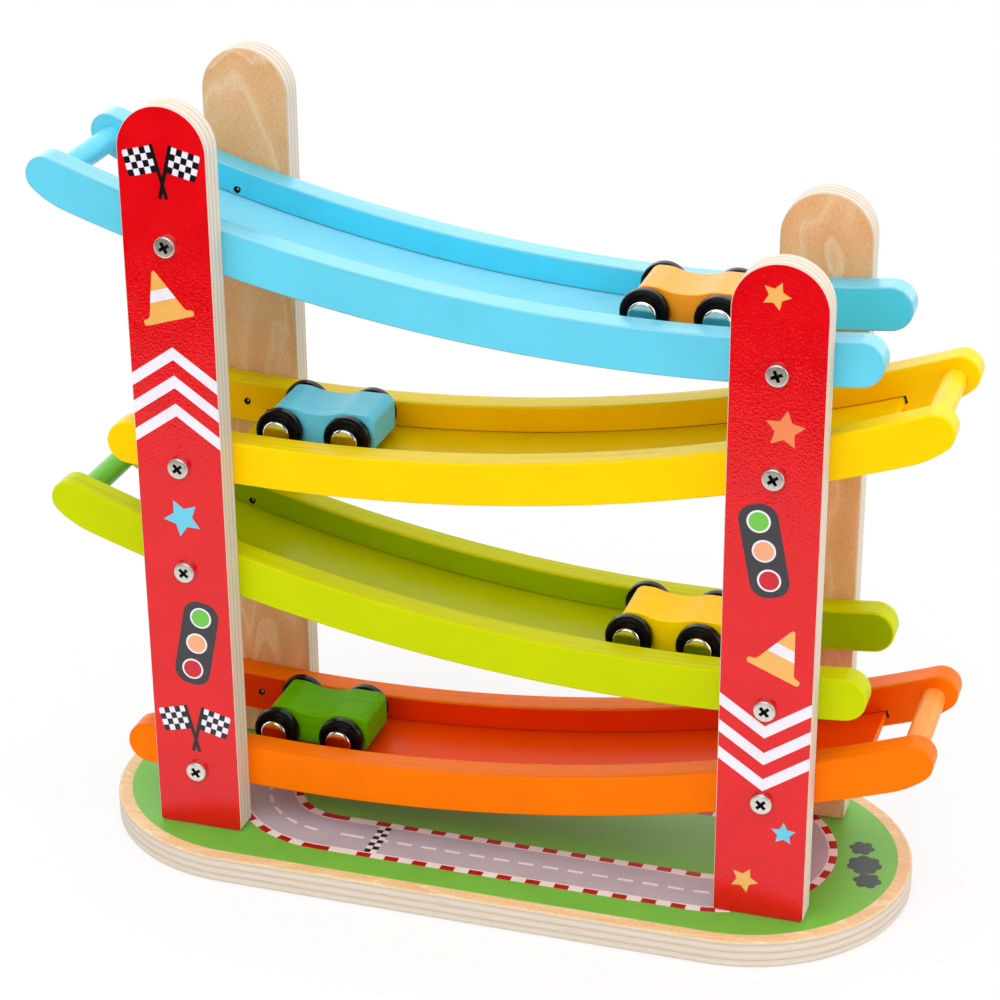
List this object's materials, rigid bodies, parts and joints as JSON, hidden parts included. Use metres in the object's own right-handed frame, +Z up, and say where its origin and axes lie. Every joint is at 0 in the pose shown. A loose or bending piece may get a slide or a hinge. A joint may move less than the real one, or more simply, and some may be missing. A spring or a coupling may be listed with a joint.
{
  "type": "click clack track toy",
  "caption": "Wooden zig-zag car ramp: round-topped posts on a stadium base hold curved grooved tracks, and small saddle-backed cars roll along them.",
  "frame": {"origin": "centre of the base board's underside", "axes": "+X to the right along the tracks, -Y to the front, +Z up; the taller pair of posts is on the left, at -X"},
  "size_m": [0.38, 0.144, 0.336],
  "materials": {
    "bare_ply": "bare sanded plywood with a printed top face",
    "red_post": "plywood, outer face gloss red, edges and inner face bare",
    "blue_paint": "satin blue paint on wood",
    "yellow_paint": "satin yellow paint on wood",
    "green_paint": "satin lime green paint on wood",
    "orange_paint": "satin orange paint on wood",
    "screw_steel": "plated steel",
    "axle_steel": "drawn steel",
    "black_wheel": "soft black plastic",
    "chrome_cap": "bright chrome",
    "orange_car_paint": "thin orange stain on wood",
    "blue_car_paint": "thin blue stain on wood",
    "yellow_car_paint": "thin yellow stain on wood",
    "green_car_paint": "thin green stain on wood"
  },
  "bodies": {
    "stand": {"base_board": "bare_ply", "post_front_left": "red_post", "post_front_right": "red_post", "post_back_left": "red_post", "post_back_right": "red_post", "blue_rail_front": "blue_paint", "blue_rail_back": "blue_paint", "blue_floor": "blue_paint", "blue_dowel": "blue_paint", "yellow_rail_front": "yellow_paint", "yellow_rail_back": "yellow_paint", "yellow_floor": "yellow_paint", "yellow_dowel": "yellow_paint", "green_rail_front": "green_paint", "green_rail_back": "green_paint", "green_floor": "green_paint", "green_dowel": "green_paint", "orange_rail_front": "orange_paint", "orange_rail_back": "orange_paint", "orange_floor": "orange_paint", "orange_dowel": "orange_paint", "rail_screws_front_left": "screw_steel", "rail_screws_front_right": "screw_steel", "rail_screws_back_left": "screw_steel", "rail_screws_back_right": "screw_steel", "base_screws": "screw_steel"},
    "orange_car": {"orange_car_body": "orange_car_paint"},
    "orange_car_front_wheelset": {"orange_car_front_axle": "axle_steel", "orange_car_front_wheels": "black_wheel", "orange_car_front_caps": "chrome_cap"},
    "orange_car_rear_wheelset": {"orange_car_rear_axle": "axle_steel", "orange_car_rear_wheels": "black_wheel", "orange_car_rear_caps": "chrome_cap"},
    "blue_car": {"blue_car_body": "blue_car_paint"},
    "blue_car_front_wheelset": {"blue_car_front_axle": "axle_steel", "blue_car_front_wheels": "black_wheel", "blue_car_front_caps": "chrome_cap"},
    "blue_car_rear_wheelset": {"blue_car_rear_axle": "axle_steel", "blue_car_rear_wheels": "black_wheel", "blue_car_rear_caps": "chrome_cap"},
    "yellow_car": {"yellow_car_body": "yellow_car_paint"},
    "yellow_car_front_wheelset": {"yellow_car_front_axle": "axle_steel", "yellow_car_front_wheels": "black_wheel", "yellow_car_front_caps": "chrome_cap"},
    "yellow_car_rear_wheelset": {"yellow_car_rear_axle": "axle_steel", "yellow_car_rear_wheels": "black_wheel", "yellow_car_rear_caps": "chrome_cap"},
    "green_car": {"green_car_body": "green_car_paint"},
    "green_car_front_wheelset": {"green_car_front_axle": "axle_steel", "green_car_front_wheels": "black_wheel", "green_car_front_caps": "chrome_cap"},
    "green_car_rear_wheelset": {"green_car_rear_axle": "axle_steel", "green_car_rear_wheels": "black_wheel", "green_car_rear_caps": "chrome_cap"}
  },
  "joints": [
    {"name": "orange_car_roll", "type": "hinge", "parent": "stand", "child": "orange_car", "pos_m": [0.078, 0, 0.9948], "axis": [0, -1, 0], "range_deg": [-17.44, 1.54]},
    {"name": "orange_car_front_spin", "type": "hinge", "parent": "orange_car", "child": "orange_car_front_wheelset", "pos_m": [0.06349, 0, 0.25864], "axis": [0, -1, 0], "continuous": true},
    {"name": "orange_car_rear_spin", "type": "hinge", "parent": "orange_car", "child": "orange_car_rear_wheelset", "pos_m": [0.09349, 0, 0.25866], "axis": [0, -1, 0], "continuous": true},
    {"name": "blue_car_roll", "type": "hinge", "parent": "stand", "child": "blue_car", "pos_m": [-0.078, 0, 0.9256], "axis": [0, 1, 0], "range_deg": [-17.37, 1.62]},
    {"name": "blue_car_front_spin", "type": "hinge", "parent": "blue_car", "child": "blue_car_front_wheelset", "pos_m": [-0.09251, 0, 0.18944], "axis": [0, 1, 0], "continuous": true},
    {"name": "blue_car_rear_spin", "type": "hinge", "parent": "blue_car", "child": "blue_car_rear_wheelset", "pos_m": [-0.06251, 0, 0.18946], "axis": [0, 1, 0], "continuous": true},
    {"name": "yellow_car_roll", "type": "hinge", "parent": "stand", "child": "yellow_car", "pos_m": [0.078, 0, 0.8516], "axis": [0, -1, 0], "range_deg": [-17.1, 1.88]},
    {"name": "yellow_car_front_spin", "type": "hinge", "parent": "yellow_car", "child": "yellow_car_front_wheelset", "pos_m": [0.05906, 0, 0.11554], "axis": [0, -1, 0], "continuous": true},
    {"name": "yellow_car_rear_spin", "type": "hinge", "parent": "yellow_car", "child": "yellow_car_rear_wheelset", "pos_m": [0.08905, 0, 0.11538], "axis": [0, -1, 0], "continuous": true},
    {"name": "green_car_roll", "type": "hinge", "parent": "stand", "child": "green_car", "pos_m": [-0.078, 0, 0.7824], "axis": [0, 1, 0], "range_deg": [-17.94, 1.04]},
    {"name": "green_car_front_spin", "type": "hinge", "parent": "green_car", "child": "green_car_front_wheelset", "pos_m": [-0.0999, 0, 0.04643], "axis": [0, 1, 0], "continuous": true},
    {"name": "green_car_rear_spin", "type": "hinge", "parent": "green_car", "child": "green_car_rear_wheelset", "pos_m": [-0.0699, 0, 0.04614], "axis": [0, 1, 0], "continuous": true}
  ],
  "couplings": [
    {"joint": "orange_car_front_spin", "follows": "orange_car_roll", "ratio": -74.63},
    {"joint": "orange_car_rear_spin", "follows": "orange_car_roll", "ratio": -74.63},
    {"joint": "blue_car_front_spin", "follows": "blue_car_roll", "ratio": -74.63},
    {"joint": "blue_car_rear_spin", "follows": "blue_car_roll", "ratio": -74.63},
    {"joint": "yellow_car_front_spin", "follows": "yellow_car_roll", "ratio": -74.63},
    {"joint": "yellow_car_rear_spin", "follows": "yellow_car_roll", "ratio": -74.63},
    {"joint": "green_car_front_spin", "follows": "green_car_roll", "ratio": -74.63},
    {"joint": "green_car_rear_spin", "follows": "green_car_roll", "ratio": -74.63}
  ]
}
